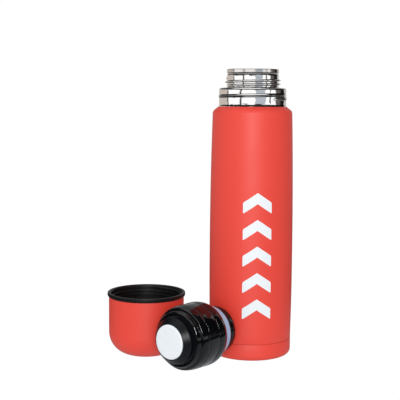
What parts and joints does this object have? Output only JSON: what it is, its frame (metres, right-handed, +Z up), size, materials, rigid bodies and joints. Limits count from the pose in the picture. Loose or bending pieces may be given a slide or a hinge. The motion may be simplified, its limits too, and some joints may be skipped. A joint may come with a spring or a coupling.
{
  "type": "vacuum flask",
  "caption": "Tall double-walled steel vacuum flask, painted body and polished neck, with its drinking cup and push-button stopper set down beside it.",
  "frame": {"origin": "centre of the flask's flat base, on the table", "axes": "+Z up along the flask's axis, +X to the viewer's right, +Y away from the viewer"},
  "size_m": [0.1662, 0.1242, 0.2554],
  "materials": {
    "red_paint": "soft-touch matt coral red",
    "polished_steel": "mirror-polished stainless steel",
    "plain_steel": "plain stainless steel",
    "foil": "bright foil",
    "seal_glass": "dark solder glass",
    "getter_alloy": "dull pressed powder",
    "gloss_black": "glossy moulded",
    "satin_black": "satin moulded",
    "satin_grey": "satin moulded, dark grey",
    "pale_silicone": "translucent pale silicone",
    "dark_rubber": "matt rubber",
    "white_plastic": "semi-gloss moulded white"
  },
  "bodies": {
    "flask": {"outer_shell": "red_paint", "base_cap": "red_paint", "neck_sleeve": "polished_steel", "inner_liner": "polished_steel", "liner_bottom": "polished_steel", "radiation_foil": "foil", "vacuum_base": "plain_steel", "port_seal": "seal_glass", "getter_holder": "plain_steel", "getter_pellet": "getter_alloy"},
    "cup": {"cup_shell": "red_paint", "cup_liner": "satin_black"},
    "stopper": {"stopper_cap": "gloss_black", "top_ring": "satin_grey", "plug_body": "satin_black", "neck_gasket": "pale_silicone", "plug_end_cap": "satin_black", "stem_o_ring": "dark_rubber", "spring_seat": "plain_steel", "return_spring": "plain_steel"},
    "push_valve": {"push_button": "white_plastic", "valve_stem": "plain_steel", "valve_disc": "satin_black", "valve_seal": "pale_silicone"}
  },
  "joints": [
    {"name": "cup_lift", "type": "slide", "parent": "flask", "child": "cup", "axis": [0, 0, 1], "range_m": [0, 0.3]},
    {"name": "stopper_lift", "type": "slide", "parent": "flask", "child": "stopper", "axis": [0, 0, 1], "range_m": [0, 0.3]},
    {"name": "button_press", "type": "slide", "parent": "stopper", "child": "push_valve", "axis": [0.6428, 0.766, 0], "range_m": [0, 0.004], "stiffness_N_per_m": 800, "springref_m": -0.003, "deforming": ["return_spring"]}
  ]
}
